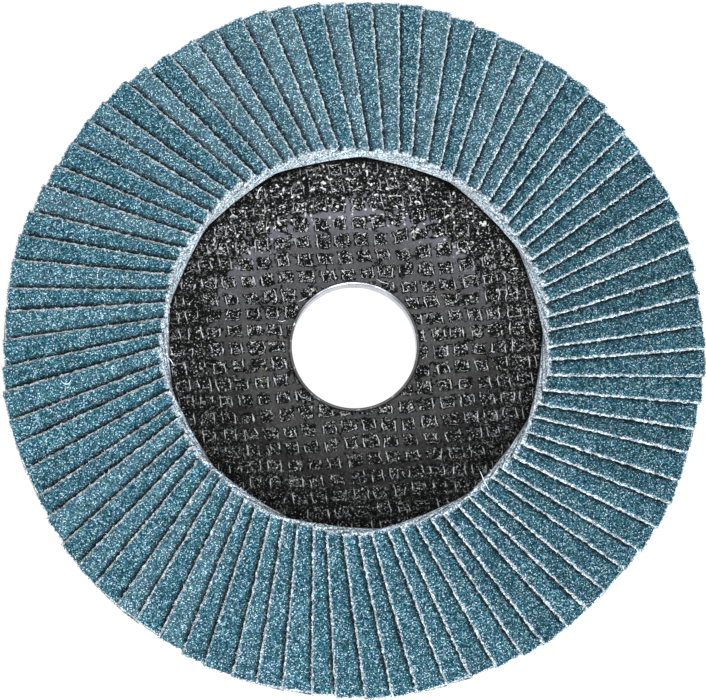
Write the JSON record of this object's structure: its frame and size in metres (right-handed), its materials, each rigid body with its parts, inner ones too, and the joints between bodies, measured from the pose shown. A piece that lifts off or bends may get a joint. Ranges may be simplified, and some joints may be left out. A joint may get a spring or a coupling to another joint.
{
  "type": "flap disc",
  "caption": "Round abrasive flap disc for an angle grinder: overlapping grit cloth flaps in a conical ring on a black glass-fibre backing plate with a metal bore ring.",
  "frame": {"origin": "on the bore axis, in the plane of the rear clamping face, which is the lowest plane of the disc as it lies on its back", "axes": "+Z along the bore axis towards the abrasive side"},
  "size_m": [0.1253, 0.1258, 0.0136],
  "materials": {
    "plate": "satin black resin",
    "mesh": "resin-coated glass strands",
    "ring": "zinc plated sheet",
    "adhesive": "cured resin",
    "flap": "coated with blue-green grit"
  },
  "bodies": {
    "root": {"adhesive_bed": "adhesive", "backing_plate": "plate", "bore_ring": "ring", "flaps_01": "flap", "flaps_02": "flap", "flaps_03": "flap", "flaps_04": "flap", "flaps_05": "flap", "flaps_06": "flap", "flaps_07": "flap", "flaps_08": "flap", "flaps_09": "flap", "flaps_10": "flap", "flaps_11": "flap", "flaps_12": "flap", "flaps_13": "flap", "flaps_14": "flap", "flaps_15": "flap", "flaps_16": "flap", "flaps_17": "flap", "flaps_18": "flap", "flaps_19": "flap", "flaps_20": "flap", "flaps_21": "flap", "flaps_22": "flap", "flaps_23": "flap", "flaps_24": "flap", "flaps_25": "flap", "flaps_26": "flap", "flaps_27": "flap", "flaps_28": "flap", "flaps_29": "flap", "flaps_30": "flap", "flaps_31": "flap", "flaps_32": "flap", "flaps_33": "flap", "flaps_34": "flap", "flaps_35": "flap", "flaps_36": "flap", "flaps_37": "flap", "flaps_38": "flap", "flaps_39": "flap", "flaps_40": "flap", "flaps_41": "flap", "glass_mesh": "mesh"}
  },
  "joints": []
}
